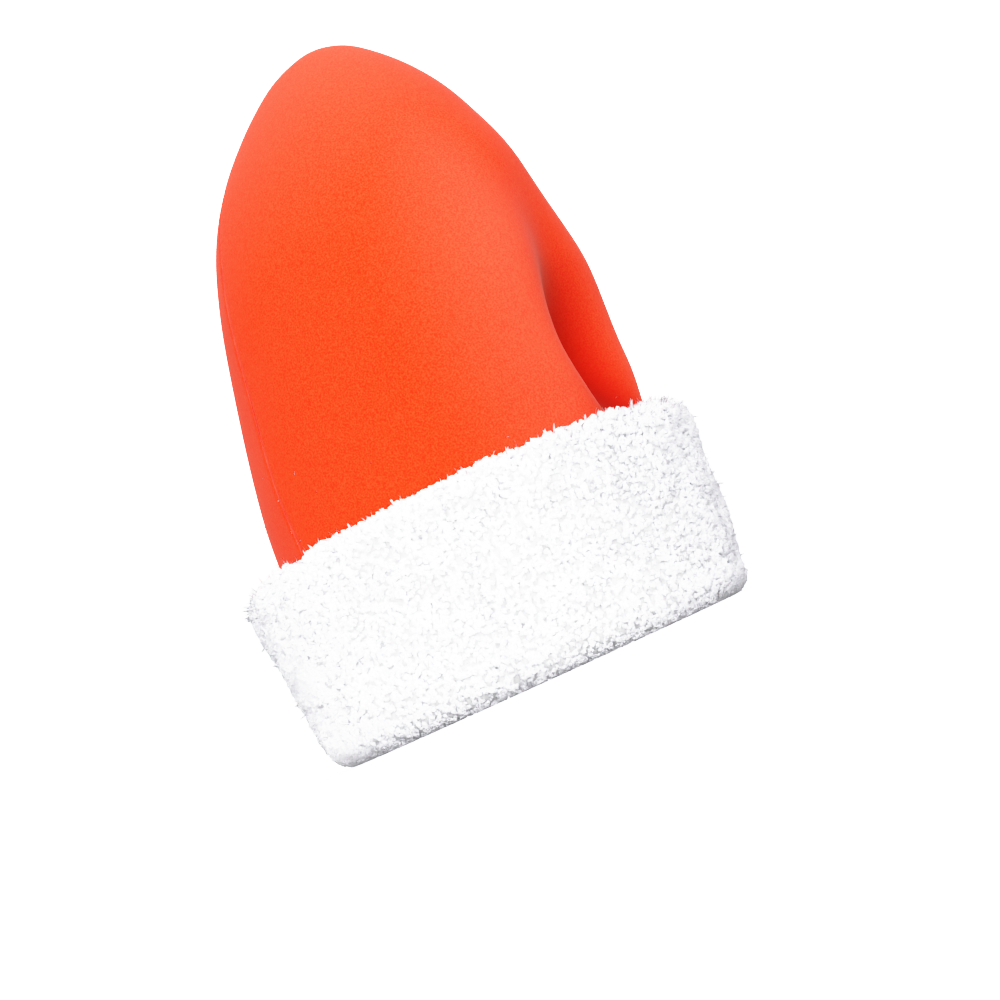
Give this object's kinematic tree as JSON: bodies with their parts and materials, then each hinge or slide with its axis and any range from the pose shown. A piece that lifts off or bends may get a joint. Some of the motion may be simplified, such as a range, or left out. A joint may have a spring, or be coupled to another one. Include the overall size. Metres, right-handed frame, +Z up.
{
  "type": "santa hat",
  "caption": "Tall self-supporting red foam santa hat, its crown dented down the front, with a thick white plush cuff round the rim; worn on the head and stood on its rim.",
  "frame": {"origin": "on the surface that the hat stands on, under the middle of the cuff's box", "axes": "+Z up the hat, -Y the front with the dent, -X the wearer's right"},
  "size_m": [0.2192, 0.2739, 0.368],
  "materials": {
    "red_foam": "matte open-cell foam with a fine grain",
    "white_plush": "short tufted plush pile"
  },
  "bodies": {
    "root": {"crown_front": "red_foam", "crown_back": "red_foam", "fur_cuff": "white_plush"}
  },
  "joints": []
}
